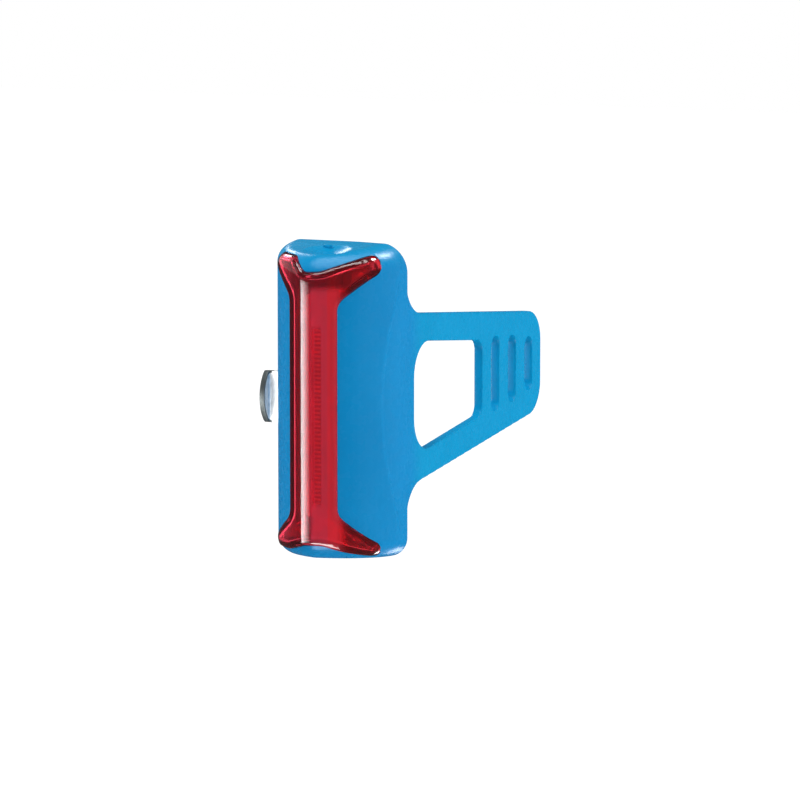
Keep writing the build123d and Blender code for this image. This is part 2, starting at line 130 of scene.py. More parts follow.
# Hook: sheet steel, bent forward into a lip with a round edge
hook_sheet = 1.2 * mm
hook_reach = 21.5 * mm
hook_inner_end = 7.2 * mm
hook_front = -0.85 * mm
hook_lip = 4.0 * mm
hook_centre = -0.8 * mm
hook_height = 12.3 * mm
# The painted dark reflection on the lip's edge lies outside lip_face.
lip_face = -19.4 * mm                      # the dark edge lies outside it
hook_bend = 0.6 * mm
hook_edge = 0.4 * mm
hook_tip = hook_front + hook_sheet - hook_lip
lip_rise = hook_lip - hook_sheet
lip_round = (hook_height ** 2 / 4 + lip_rise ** 2) / (2 * lip_rise)
hook_screw_x = -10.2 * mm
hook_screw_gap = 6.4 * mm
hook_screw_heights = (hook_centre - hook_screw_gap / 2, hook_centre + hook_screw_gap / 2)
hook_screw_hole = 0.95 * mm
hook_screw_head = 1.65 * mm
screw_room_radius = 1.8 * mm
hook_window = (-7.1 * mm, -0.9 * mm, 0.45 * mm, -7.05 * mm, 5.45 * mm)     # inner x, two y, two z

# Face sizes of the even nets
rubber_net = 0.44 * mm
lens_net = 0.32 * mm
hollow_net = 1.4 * lens_net
body_net = 0.8 * mm
longest_move = 0.4 * mm


def middle(a, b):
    return (a + b) / 2


# Outlines: corners are (a, b, radius), and a round corner becomes an arc

def outline(corners, step=6):
    """The points along a closed line, an arc's being at most so many degrees apart."""
    points = []
    for number, (a, b, radius) in enumerate(corners):
        here = Vector((a, b))
        before = Vector(corners[number - 1][:2]) - here
        after = Vector(corners[(number + 1) % len(corners)][:2]) - here
        if not radius:
            points.append((a, b))
            continue
        half = before.angle(after) / 2
        inward = (before.normalized() + after.normalized()).normalized()
        centre = here + inward * radius / math.sin(half)
        first = here + before.normalized() * radius / math.tan(half) - centre
        last = here + after.normalized() * radius / math.tan(half) - centre
        turn = first.angle_signed(last)
        count = max(2, math.ceil(math.degrees(abs(turn)) / step))
        for k in range(count + 1):
            angle = -turn * k / count
            points.append((
                centre.x + first.x * math.cos(angle) - first.y * math.sin(angle),
                centre.y + first.x * math.sin(angle) + first.y * math.cos(angle),
            ))
    return points


def end_height(y):
    """The sloping top face, above the middle."""
    return half_height - math.tan(end_slope) * (back_y - y)


def plan_outline(back):
    """Two flank arcs and a round nose, seen from above, closed by straight sides behind."""
    arc_x = half_width - flank_radius
    reach = flank_radius - nose_radius
    nose_y = wide_y - math.sqrt(reach ** 2 - arc_x ** 2)
    turn = math.atan2(wide_y - nose_y, -arc_x)
    angles = [turn * k / 16 for k in range(17)]
    flank = [(arc_x + flank_radius * math.cos(a), wide_y - flank_radius * math.sin(a)) for a in angles]
    half = math.pi / 2 - turn
    angles = [half * k / 8 for k in range(7, -8, -1)]
    nose = [(nose_radius * math.sin(a), nose_y - nose_radius * math.cos(a)) for a in angles]
    return [(-half_width, back), (half_width, back)] + flank + nose + [(-x, y) for x, y in reversed(flank)]


def lens_outline():
    """The bar and its four wings, seen from the front."""
    corners = [
        (5.95, 24.4, 4.0), (13.1, 31.1, 1.7), (11.4, 35.3, 2.0), (2.6, 31.8, 4.0),
        (-1.2, 31.6, 2.5), (-4.8, 34.9, 2.4), (-10.6, 35.2, 1.6), (-11.5, 32.8, 1.8),
        (-5.6, 26.0, 4.0), (-5.6, -25.2, 4.0),
        (-11.8, -30.8, 1.8), (-11.0, -33.6, 1.5), (-6.0, -33.4, 4.0), (-1.0, -31.8, 5.0),
        (3.0, -31.7, 6.0), (11.9, -35.7, 1.6), (13.1, -32.4, 1.7), (5.95, -24.9, 4.0),
    ]
    return outline([(x * mm, z * mm, r * mm) for x, z, r in corners], 9)


def strap_height(y):
    """Half the strap's height, which falls evenly towards its end."""
    return strap_root_height - strap_taper * y


def strap_outline():
    """The strap seen from the side, from the widest line."""
    root, start, step, end = 31.0 * mm, -1.1 * mm, 0.9 * mm, 83.8 * mm
    half = [(start, root, 0.4 * mm), (step, root, 0.5 * mm), (step, strap_height(step), 9.5 * mm),
            (end, strap_height(end), 8.0 * mm)]
    return [(y + wide_y, z) for y, z in outline(half + [(y, -z, r) for y, z, r in reversed(half)])]


def opening_outline():
    """The window between the strap's two arms."""
    half = [(5.7 * mm, 13.6 * mm, 8.0 * mm), (46.5 * mm, 9.1 * mm, 3.0 * mm)]
    return [(y + wide_y, z) for y, z in outline(half + [(y, -z, r) for y, z, r in reversed(half)])]


plan = plan_outline(4 * back_y)
lens_shape, strap_shape, opening_shape = lens_outline(), strap_outline(), opening_outline()


# Distances: negative inside, positive outside

def outline_distance(a, b, points):
    """Distance of each point (a, b) from a closed outline."""
    best = np.full(len(a), np.inf)
    inside = np.zeros(len(a), bool)
    for number, (ax, bx) in enumerate(points):
        cx, dx = points[number - 1]
        ex, fx = ax - cx, bx - dx
        wa, wb = a - cx, b - dx
        along = np.clip((wa * ex + wb * fx) / (ex * ex + fx * fx), 0, 1)
        best = np.minimum(best, (wa - ex * along) ** 2 + (wb - fx * along) ** 2)
        if fx:
            crosses = (b < bx) != (b < dx)
            inside ^= crosses & (wa < ex * wb / fx)
    return np.where(inside, -1, 1) * np.sqrt(best)


def round_meet(parts, radius):
    """Where all the parts are, with the edges between them rounded."""
    parts = np.stack(parts)
    corner = np.sqrt((np.maximum(parts + radius, 0) ** 2).sum(0))
    return np.minimum(parts.max(0), -radius) + corner


def round_join(a, b, radius):
    """Both parts in one, with the inner corner between them filled round."""
    return -round_meet([-a, -b], radius)


def smooth_max(a, b, width):
    """The larger of the two, blended where they are nearly equal."""
    return np.maximum(a, b) + np.maximum(width - np.abs(a - b), 0) ** 2 / (4 * width)


def smooth_step(value):
    """0 up to 0 and 1 from 1 on, with an easy rise between them."""
    share = np.clip(value, 0, 1)
    return share ** 2 * (3 - 2 * share)


def body_field(p, grow=0.0):
    """The body with its round ends, grown or drawn in."""
    x, y, z = p.T
    side = smooth_step((x + rounding_run) / (2 * rounding_run))
    low, high = (np.where(z > 0, top_rounding[k], low_rounding[k]) for k in (0, 1))
    end_radius = np.maximum(low + (high - low) * side + grow, least_radius)
    flank = outline_distance(x, y, plan) - grow
    end = (np.abs(z) - end_height(y)) * math.cos(end_slope) - grow
    return round_meet([round_meet([flank, end], end_radius), y - back_y - grow], back_radius + grow)


def crease_field(p):
    """The flank rises slowly to a long arc and drops again behind it, least in the middle."""
    x, y, z = p.T
    centre = wide_y - crease_front + crease_radius
    behind = crease_radius - np.hypot(y - centre, z)
    rise = np.clip(1 + behind / crease_run, 0, 1) ** 2
    drop = 1 - smooth_step(behind / crease_width + 0.5)
    height = crease_height * (0.4 + 0.6 * smooth_step(np.abs(z) / half_height * 2))
    flank = smooth_step(2 * x / half_width - 1)
    ends = smooth_step((0.92 * half_height - np.abs(z)) / crease_fade)
    return height * rise * drop * (flank * ends)


def rubber_field(p):
    """The outside of the boot and strap in one."""
    x, y, z = p.T
    body = body_field(p) - crease_field(p)
    flat = np.maximum(outline_distance(y, z, strap_shape), -outline_distance(y, z, opening_shape))
    for place, height in zip(slot_places, slot_heights):
        straight = np.maximum(np.abs(z) - (height - slot_width) / 2, 0)
        flat = np.maximum(flat, slot_width / 2 - np.hypot(y - wide_y - place, straight))
    strap = round_meet([np.abs(x - strap_x) - strap_thickness / 2, flat], strap_edge)
    join = root_join * np.clip((half_width - x) / strap_thickness, 0.02, 1)
    whole = smooth_max(round_join(body, strap, join), x - half_width, face_blend)
    ball = (dimple_diameter ** 2 / 4 + dimple_depth ** 2) / (2 * dimple_depth)
    lift = ball - dimple_depth
    over = np.sqrt(
        x ** 2 + (y - button_y + lift * math.sin(end_slope)) ** 2
        + (z - end_height(button_y) - lift * math.cos(end_slope)) ** 2
    )
    return round_meet([whole, ball - over], dimple_edge)


def lens_field(p):
    """The outside of the lens, whose wings sink back to the rubber at their tips."""
    x, y, z = p.T
    proud = lens_proud + (tip_proud - lens_proud) * smooth_step((y - tip_start) / tip_run)
    front = round_meet([body_field(p, proud), outline_distance(x, z, lens_shape)], lens_edge)
    return np.maximum(front, y - wing_back_y)


def hollow_field(p):
    """The inside of the raised lens."""
    x, y, z = p.T
    wall = outline_distance(x, z, lens_shape) + lens_wall
    front = round_meet([body_field(p, lens_proud - lens_wall), wall], lens_edge)
    return np.maximum(front, y - split_y - mm)


# Modelling

def alone(obj):
    """Selects one piece and nothing else."""
    bpy.ops.object.select_all(action="DESELECT")
    obj.select_set(True)
    bpy.context.view_layer.objects.active = obj
    return obj


def prism(name, points, axis, start, end):
    """An outline filled and drawn out along an axis: 0 is x, 1 is y and 2 is z."""
    bpy.ops.object.select_all(action="DESELECT")
    bpy.ops.mesh.primitive_circle_add(vertices=len(points), radius=half_width, location=(0, 0, 0))
    obj = bpy.context.object
    obj.name = name
    for vertex, (a, b) in zip(obj.data.vertices, points):
        place = [a, b]
        place.insert(axis, start)
        vertex.co = place
    bpy.ops.object.mode_set(mode="EDIT")
    bpy.ops.mesh.select_all(action="SELECT")
    bpy.ops.mesh.edge_face_add()
    way = [0, 0, 0]
    way[axis] = end - start
    bpy.ops.mesh.extrude_region_move(TRANSFORM_OT_translate={"value": way})
    bpy.ops.mesh.select_all(action="SELECT")
    bpy.ops.mesh.normals_make_consistent(inside=False)
    bpy.ops.object.mode_set(mode="OBJECT")
    return obj


def box(name, x0, x1, y0, y1, z0, z1):
    """A block between its six sides."""
    bpy.ops.object.select_all(action="DESELECT")
    place = (middle(x0, x1), middle(y0, y1), middle(z0, z1))
    bpy.ops.mesh.primitive_cube_add(size=1, location=place)
    obj = bpy.context.object
    obj.name = name
    obj.scale = (x1 - x0, y1 - y0, z1 - z0)
    bpy.ops.object.transform_apply(location=True, rotation=False, scale=True)
    return obj


def rod(name, radius, start, end, vertices=64):
    """A round bar between two points."""
    bpy.ops.object.select_all(action="DESELECT")
    run = Vector(end) - Vector(start)
    bpy.ops.mesh.primitive_cylinder_add(
        vertices=vertices, radius=radius, depth=run.length, location=(Vector(start) + Vector(end)) / 2,
        rotation=run.to_track_quat("Z", "Y").to_euler(),
    )
    obj = bpy.context.object
    obj.name = name
    bpy.ops.object.transform_apply(location=True, rotation=True, scale=False)
    return obj


def combine(obj, tool, how):
    """Joins, cuts or keeps in common, and uses the tool up."""
    alone(obj)
    cut = obj.modifiers.new(how.lower(), "BOOLEAN")
    cut.operation = how
    cut.solver = "EXACT"
    cut.object = tool
    bpy.ops.object.modifier_apply(modifier=cut.name)
    bpy.data.objects.remove(tool)
    return obj


def grid_over(obj, size):
    """An even net of small faces over the whole piece."""
    alone(obj)
    net = obj.modifiers.new("net", "REMESH")
    net.mode = "VOXEL"
    net.voxel_size = size
    bpy.ops.object.modifier_apply(modifier=net.name)
    return obj


def settle(obj, field):
    """Draws each point of the net onto the surface that the field describes, in five short moves."""
    count = len(obj.data.vertices)
    flat = np.zeros(count * 3)
    obj.data.vertices.foreach_get("co", flat)
    p = flat.reshape(-1, 3)
    small = 0.01 * mm
    for _ in range(5):
        here = field(p)
        slope = np.stack([(field(p + step) - here) / small for step in np.eye(3) * small], 1)
        size = (slope ** 2).sum(1, keepdims=True)
        move = here[:, None] * slope / np.maximum(size, 0.2)
        p = p - np.clip(move, -longest_move, longest_move)
    obj.data.vertices.foreach_set("co", p.ravel())
    obj.data.update()
    return obj


def body_block(name, grow):
    """A plain start for the body, grown or drawn in: its plan drawn up, with sloping ends."""
    solid = alone(prism(name, plan, 2, -half_height, half_height))
    depth = wide_y - front_y
    bpy.ops.object.mode_set(mode="EDIT")
    bpy.ops.mesh.select_all(action="SELECT")
    bpy.ops.transform.resize(
        value=(1 + grow / half_width, 1 + grow / depth, 1), center_override=(0, wide_y, 0),
    )
    high = half_height - math.tan(end_slope) * back_y
    for up in (-1, 1):
        bpy.ops.mesh.select_all(action="SELECT")
        slope = (0, -math.sin(end_slope), up * math.cos(end_slope))
        bpy.ops.mesh.bisect(
            plane_co=(0, 0, up * (high + grow)), plane_no=slope, use_fill=True, clear_outer=True,
        )
    bpy.ops.mesh.select_all(action="SELECT")
    bpy.ops.mesh.bisect(
        plane_co=(0, back_y + grow, 0), plane_no=(0, 1, 0), use_fill=True, clear_outer=True,
    )
    bpy.ops.object.mode_set(mode="OBJECT")
    return solid


def smooth_body(name, grow):
    """The body's rounded form, grown or drawn in."""
    return settle(grid_over(body_block(name, grow), body_net), lambda p: body_field(p, grow))


def grown(points, grow):
    """An outline moved outwards along its own normals."""
    area = sum(points[k - 1][0] * b - a * points[k - 1][1] for k, (a, b) in enumerate(points))
    moved = []
    for number, (a, b) in enumerate(points):
        before, after = points[number - 1], points[(number + 1) % len(points)]
        way = Vector((after[0] - before[0], after[1] - before[1])).normalized()
        way = way * grow * math.copysign(1, area)
        moved.append((a + way.y, b - way.x))
    return moved


def copy_of(obj, name):
    """A second piece with a mesh of its own."""
    alone(obj)
    bpy.ops.object.duplicate()
    twin = bpy.context.object
    twin.name = name
    return twin


def keep_between(obj, axis, low, high):
    """Cuts a piece off at two planes and closes it there."""
    alone(obj)
    bpy.ops.object.mode_set(mode="EDIT")
    for place, way in ((low, -1), (high, 1)):
        if place is None:
            continue
        co, no = [0, 0, 0], [0, 0, 0]
        co[axis], no[axis] = place, way
        bpy.ops.mesh.select_all(action="SELECT")
        bpy.ops.mesh.bisect(plane_co=co, plane_no=no, use_fill=True, clear_outer=True)
    bpy.ops.object.mode_set(mode="OBJECT")
    return obj


def smooth(obj):
    """Smooth shading, with edges sharper than 35 degrees kept."""
    alone(obj)
    bpy.ops.object.shade_smooth_by_angle(angle=math.radians(35))
    return obj


# Rubber boot and strap

def rubber_whole():
    """Boot and strap as one even net, drawn onto their real form."""
    rubber = body_block("boot_skin", 0)
    strap = prism("strap", strap_shape, 0, half_width - strap_thickness, half_width)
    combine(strap, prism("opening", opening_shape, 0, 0, 2 * half_width), "DIFFERENCE")
    for place, height in zip(slot_places, slot_heights):
        low, high, half = wide_y + place - slot_width / 2, wide_y + place + slot_width / 2, height / 2
        corners = [(low, -half), (low, half), (high, half), (high, -half)]
        slot = outline([(y, z, 0.48 * slot_width) for y, z in corners])
        combine(strap, prism("slot", slot, 0, 0, 2 * half_width), "DIFFERENCE")
    strap.select_set(True)
    bpy.context.view_layer.objects.active = rubber
    rubber.select_set(True)
    bpy.ops.object.join()
    return settle(grid_over(rubber, rubber_net), rubber_field)


def flap_tool(name, room, low, high):
    """The lid's plan as a block, and the roll at its hinge."""
    side = flap_half_width + room
    lid = box(name, -side, side, flap_y[0] - room, flap_y[1], low, high)
    roll = (flap_thickness + 2 * room) / 2
    hinge = (flap_y[1], -end_height(flap_y[1]) + flap_thickness / 2)
    combine(lid, rod("roll", roll, (-side, *hinge), (side, *hinge)), "UNION")
    if room:
        skirt = box("skirt", -side, side, flap_y[1] - room, flap_y[1] + roll, low, hinge[1])
        combine(lid, skirt, "UNION")
    return lid


def rubber_room():
    """All that is cut out of the boot: the case's room, its windows and the post's saddle."""
    room = smooth_body("room", -boot_wall)
    window = prism("window", grown(lens_shape, window_gap), 1, 2 * front_y, wing_back_y + window_gap)
    combine(room, window, "UNION")
    pad = smooth_body("pad_room", -pad_thickness)
    pad_rod = rod("pad_rod", pad_room_radius, (0, button_y, 0), (0, button_y, 2 * half_height))
    combine(room, combine(pad, pad_rod, "INTERSECT"), "UNION")
    combine(room, flap_tool("flap_room", flap_gap, -2 * half_height, flap_room_top), "UNION")
    inner, y0, y1, z0, z1 = hook_window
    combine(room, box("slit", -2 * half_width, inner, y0, y1, z0, z1), "UNION")
    for z in hook_screw_heights:
        start, end = (hook_screw_x, hook_front, z), (hook_screw_x, 2 * back_y, z)
        combine(room, rod("screw_room", screw_room_radius, start, end, 32), "UNION")
    low, high = (0, saddle_radius, -2 * half_height), (0, saddle_radius, 2 * half_height)
    post = rod("post", saddle_radius, low, high, 256)
    combine(room, keep_between(post, 1, None, 2 * back_y), "UNION")
    return room


def make_flap(rubber):
    """The port's lid, cut from the same skin, with the stopper on its inside."""
    flap = keep_between(copy_of(rubber, "flap_skin"), 2, None, lid_top + 0.5 * mm)
    keep_between(flap, 1, None, 0)
    combine(flap, flap_tool("lid", 0, -2 * half_height, lid_top), "INTERSECT")
    combine(flap, smooth_body("under_lid", -flap_thickness), "DIFFERENCE")
    x, y = stopper_half
    return combine(flap, box("stopper", -x, x, port_y - y, port_y + y, *stopper_height), "UNION")


def make_rubber():
    """Boot, button, flap and the strap's three stretches, all cut from one skin."""
    rubber = rubber_whole()
    flap = make_flap(rubber)
    combine(rubber, rubber_room(), "DIFFERENCE")
    cuts = [middle(a, b) for a, b in zip(bend_places, bend_places[1:])]
    pieces = []
    for number, name in enumerate(("strap_skin_near", "strap_skin_middle", "strap_skin_end")):
        high = cuts[number + 1] if number + 1 < len(cuts) else None
        pieces.append(keep_between(copy_of(rubber, name), 1, cuts[number], high))
    keep_between(rubber, 1, None, cuts[0])
    reach = [(0, button_y, z) for z in (half_height - 6 * mm, half_height + 23 * mm)]
    button = copy_of(rubber, "button_skin")
    combine(button, rod("patch", patch_radius, *reach, 128), "INTERSECT")
    combine(rubber, rod("patch", patch_radius, *reach, 128), "DIFFERENCE")
    nub = box("nub", *nub_x, *nub_y, end_height(nub_y[0]) - mm, end_height(nub_y[0]) + nub_proud)
    worn = alone(nub).modifiers.new("edges", "BEVEL")
    worn.width, worn.segments = nub_edge, 3
    bpy.ops.object.modifier_apply(modifier=worn.name)
    combine(button, nub, "UNION")
    return rubber, button, flap, pieces, cuts


# Red lens

def make_lens():
    """The raised bar and wings in one with the front of the case, hollow, with screw bosses and a port."""
    lens = prism("red_lens_shell", lens_shape, 1, 2 * front_y, wing_back_y)
    combine(lens, body_block("outside", lens_proud), "INTERSECT")
    settle(grid_over(lens, lens_net), lens_field)
    case = keep_between(smooth_body("case_front", -boot_wall - case_fit), 1, None, split_y)
    combine(lens, case, "UNION")
    hollow = prism("hollow", grown(lens_shape, -lens_wall), 1, 2 * front_y, split_y + mm)
    combine(hollow, body_block("inside", lens_proud - lens_wall), "INTERSECT")
    settle(grid_over(hollow, hollow_net), hollow_field)
    combine(lens, hollow, "DIFFERENCE")
    case_room = keep_between(smooth_body("case_room", -boot_wall - case_fit - case_wall), 1, None, 0)
    combine(lens, case_room, "DIFFERENCE")
    for x in (-boss_x, boss_x):
        for z in (-boss_z, boss_z):
            post = rod("post", boss_radius, (x, boss_front, z), (x, split_y, z), 32)
            radius, depth = boss_bore
            combine(post, rod("bore", radius, (x, split_y - depth, z), (x, 0, z), 24), "DIFFERENCE")
            combine(lens, post, "UNION")
    plunger_bore = rod("plunger_bore", plunger_room, (0, button_y, 0), (0, button_y, half_height), 32)
    combine(lens, plunger_bore, "DIFFERENCE")
    x, y = port_half
    return combine(lens, box("port", -x, x, port_y - y, port_y + y, -half_height, port_top), "DIFFERENCE")


# Hook

def make_hook():
    """The bent sheet with its round lip, two screw holes and worn edges."""
    back = hook_front + hook_sheet
    low, high = hook_centre - hook_height / 2, hook_centre + hook_height / 2
    bent = outline([
        (-hook_inner_end, hook_front, 0), (-hook_inner_end, back, 0),
        (-hook_reach, back, hook_bend + hook_sheet), (-hook_reach, hook_tip, 0),
        (-hook_reach + hook_sheet, hook_tip, 0), (-hook_reach + hook_sheet, hook_front, hook_bend),
    ])
    hook = prism("hook_skin", bent, 2, low, high)
    centre = (hook_tip + lip_round, hook_centre)
    combine(hook, rod("lip_end", lip_round, (-2 * hook_reach, *centre), (0, *centre), 256), "INTERSECT")
    half_in = back - hook_sheet / 2
    for z in hook_screw_heights:
        hole = rod("screw_hole", hook_screw_hole, (hook_screw_x, -mm, z), (hook_screw_x, mm, z), 32)
        combine(hook, hole, "DIFFERENCE")
        head = rod("head_room", hook_screw_head, (hook_screw_x, half_in, z), (hook_screw_x, back + mm, z), 32)
        combine(hook, head, "DIFFERENCE")
    alone(hook)
    worn = hook.modifiers.new("edges", "BEVEL")
    worn.width, worn.segments, worn.limit_method = hook_edge, 4, "ANGLE"
    worn.angle_limit = math.radians(40)
    bpy.ops.object.modifier_apply(modifier=worn.name)
    return hook


# Finishes

def finish_nodes(name):
    """A new finish and its shader, with the piece's own coordinates to hand."""
    finish = bpy.data.materials.new(name)
    finish.use_nodes = True
    tree = finish.node_tree
    shader = tree.nodes["Principled BSDF"]
    place = tree.nodes.new("ShaderNodeTexCoord")
    return finish, tree, shader, place.outputs["Object"]


def srgb(r, g, b):
    """A colour as it is seen, 0 to 255, as the shader's linear numbers."""
    linear = [v / 255 / 12.92 if v <= 10 else ((v / 255 + 0.055) / 1.055) ** 2.4 for v in (r, g, b)]
    return (*linear, 1)


def noise(tree, place, scale, detail=3.0):
    """Soft clouds, or a fine grain at a large scale."""
    node = tree.nodes.new("ShaderNodeTexNoise")
    node.inputs["Scale"].default_value = scale
    node.inputs["Detail"].default_value = detail
    tree.links.new(place, node.inputs["Vector"])
    return node.outputs["Fac"]


def ramp(tree, value, low, high, stops=(0.35, 0.65)):
    """A value spread between two colours."""
    node = tree.nodes.new("ShaderNodeValToRGB")
    for stop, where, colour in zip(node.color_ramp.elements, stops, (low, high)):
        stop.position, stop.color = where, colour
    tree.links.new(value, node.inputs["Fac"])
    return node.outputs["Color"]


def grain(tree, shader, value, strength, depth):
    """A shallow relief in the finish itself."""
    node = tree.nodes.new("ShaderNodeBump")
    node.inputs["Strength"].default_value = strength
    node.inputs["Distance"].default_value = depth
    tree.links.new(value, node.inputs["Height"])
    tree.links.new(node.outputs["Normal"], shader.inputs["Normal"])


def even(value):
    """A grey, as linear numbers."""
    return (value, value, value, 1)


def moulded(name, colour, rough, grain_scale, grain_depth, vary=0.06, metal=0.0):
    """A moulded or rolled finish: its colour drifts a little, and it has a fine grain."""
    finish, tree, shader, place = finish_nodes(name)
    low = tuple(c * (1 - vary) for c in colour[:3]) + (1,)
    high = tuple(min(1, c * (1 + vary)) for c in colour[:3]) + (1,)
    tree.links.new(ramp(tree, noise(tree, place, 60), low, high), shader.inputs["Base Color"])
    wear = ramp(tree, noise(tree, place, 400), even(rough * 0.85), even(rough * 1.15))
    tree.links.new(wear, shader.inputs["Roughness"])
    grain(tree, shader, noise(tree, place, grain_scale, 2), 0.5, grain_depth)
    shader.inputs["Metallic"].default_value = metal
    return finish


def spread(tree, place, axis, low, high):
    """Runs smoothly from 0 to 1 between two places along an axis."""
    split = tree.nodes.new("ShaderNodeSeparateXYZ")
    tree.links.new(place, split.inputs[0])
    run = tree.nodes.new("ShaderNodeMapRange")
    run.interpolation_type = "SMOOTHSTEP"
    run.inputs["From Min"].default_value = low
    run.inputs["From Max"].default_value = high
    tree.links.new(split.outputs[axis], run.inputs["Value"])
    return run.outputs["Result"]


def times(tree, first, second):
    """The product of two runs."""
    node = tree.nodes.new("ShaderNodeMath")
    node.operation = "MULTIPLY"
    tree.links.new(first, node.inputs[0])
    tree.links.new(second, node.inputs[1])
    return node.outputs["Value"]


def between(tree, place, axis, low, high, rise, fall):
    """1 between two places along an axis, and 0 outside them, with a soft rise and fall inside."""
    start = spread(tree, place, axis, low, low + rise)
    return times(tree, start, spread(tree, place, axis, high, high - fall))


def from_to(tree, share, low, high):
    """Runs from one number to the other as the share rises from 0 to 1."""
    run = tree.nodes.new("ShaderNodeMapRange")
    run.inputs["To Min"].default_value = low
    run.inputs["To Max"].default_value = high
    tree.links.new(share, run.inputs["Value"])
    return run.outputs["Result"]


def blend_colours(tree, share, first, second):
    """From the first colour to the second, as the share rises from 0 to 1."""
    node = tree.nodes.new("ShaderNodeMix")
    node.data_type = "RGBA"
    tree.links.new(share, node.inputs["Factor"])
    for socket, value in zip((node.inputs["A"], node.inputs["B"]), (first, second)):
        if isinstance(value, tuple):
            socket.default_value = value
        else:
            tree.links.new(value, socket)
    return node.outputs["Result"]


def rubber_finish():
    """Satin silicone with a fine moulded grain. A paler blue is painted on the strap and along the top, as painted
    light from the side and from above.
    """
    finish, tree, shader, place = finish_nodes("blue_silicone_finish")
    cloud = noise(tree, place, 60)
    body = ramp(tree, cloud, srgb(4, 141, 206), srgb(7, 145, 210))
    # Painted light: this paler blue stands in for the brighter light on the strap's face and on the top band.
    strap = ramp(tree, cloud, srgb(5, 152, 206), srgb(8, 156, 211))
    top = spread(tree, place, "Z", 31 * mm, 37 * mm)
    side = spread(tree, place, "Y", 0, 9 * mm)
    # The paler blue on the strap side and on the top band, 31 to 37 mm up, is painted light, not a colour of the
    # silicone.
    colour = blend_colours(tree, side, blend_colours(tree, top, body, strap), strap)
    tree.links.new(colour, shader.inputs["Base Color"])
    tree.links.new(ramp(tree, noise(tree, place, 400), even(0.24), even(0.30)), shader.inputs["Roughness"])
    grain(tree, shader, noise(tree, place, 5200, 2), 0.15, 0.002 * mm)
    tree.links.new(from_to(tree, side, 0.12, 0.05), shader.inputs["Specular IOR Level"])
    return finish


def lens_finish():
    """Clear red plastic, polished, with a painted sheen of brighter red along the bar's right edge. The bar is a
    little milky, and less so in front of the lit row.
    """
    finish, tree, shader, place = finish_nodes("clear_red_finish")
    tint = ramp(tree, noise(tree, place, 45), srgb(212, 60, 82), srgb(218, 64, 88))
    # Painted sheen: the brighter red at the bar's right edge stands in for a reflection there.
    edge = spread(tree, place, "X", 4.3 * mm, 4.7 * mm)
    tree.links.new(blend_colours(tree, edge, tint, srgb(232, 56, 72)), shader.inputs["Base Color"])
    tree.links.new(ramp(tree, noise(tree, place, 300), even(0.06), even(0.09)), shader.inputs["Roughness"])
    milky_height = between(tree, place, "Z", -34 * mm, 29 * mm, 2 * mm, 2 * mm)
    milky_width = between(tree, place, "X", 0.3 * mm, 8 * mm, 0.9 * mm, 2 * mm)
    row_height = between(tree, place, "Z", -23 * mm, 20 * mm, 2 * mm, 2 * mm)
    row_width = between(tree, place, "X", 0.9 * mm, 3.4 * mm, 0.4 * mm, 0.4 * mm)
    thinner = from_to(tree, times(tree, row_width, row_height), 1.0, 0.35)
    milk = times(tree, times(tree, milky_height, milky_width), thinner)
    tree.links.new(from_to(tree, milk, 0.92, 0.45), shader.inputs["Transmission Weight"])
    shader.inputs["IOR"].default_value = 1.49
    return finish


def strip_finish():
    """The lit strip's gel, with its row of dies showing as fine bars across it."""
    finish, tree, shader, place = finish_nodes("gel_strip_finish")
    bars = tree.nodes.new("ShaderNodeTexWave")
    bars.bands_direction = "Z"
    bars.inputs["Scale"].default_value = 310
    bars.inputs["Distortion"].default_value = 0.4
    tree.links.new(place, bars.inputs["Vector"])
    colour = ramp(tree, bars.outputs["Fac"], srgb(150, 120, 60), srgb(236, 206, 130), (0.3, 0.7))
    tree.links.new(colour, shader.inputs["Base Color"])
    grain(tree, shader, bars.outputs["Fac"], 0.8, 0.1 * mm)
    shader.inputs["Roughness"].default_value = 0.4
    return finish


def board_finish():
    """Green solder mask over faint tracks."""
    finish, tree, shader, place = finish_nodes("solder_mask_finish")
    tracks = tree.nodes.new("ShaderNodeTexBrick")
    tracks.inputs["Scale"].default_value = 420
    tracks.inputs["Mortar Size"].default_value = 0.04
    tracks.inputs["Color1"].default_value = srgb(18, 84, 44)
    tracks.inputs["Color2"].default_value = srgb(20, 92, 48)
    tracks.inputs["Mortar"].default_value = srgb(44, 124, 66)
    turn = tree.nodes.new("ShaderNodeMapping")
    turn.inputs["Rotation"].default_value = (math.pi / 2, 0, 0)
    tree.links.new(place, turn.inputs["Vector"])
    tree.links.new(turn.outputs["Vector"], tracks.inputs["Vector"])
    tree.links.new(tracks.outputs["Color"], shader.inputs["Base Color"])
    shader.inputs["Roughness"].default_value = 0.35
    return finish


def steel_finish(name, rough):
    """Polished sheet with faint drawn lines."""
    finish, tree, shader, place = finish_nodes(name)
    stretch = tree.nodes.new("ShaderNodeMapping")
    stretch.inputs["Scale"].default_value = (300, 300, 6000)
    tree.links.new(place, stretch.inputs["Vector"])
    lines = noise(tree, stretch.outputs["Vector"], 1, 2)
    tree.links.new(ramp(tree, lines, srgb(196, 200, 200), srgb(222, 224, 224)), shader.inputs["Base Color"])
    tree.links.new(ramp(tree, lines, even(rough * 0.7), even(rough * 1.3)), shader.inputs["Roughness"])
    shader.inputs["Metallic"].default_value = 1.0
    return finish


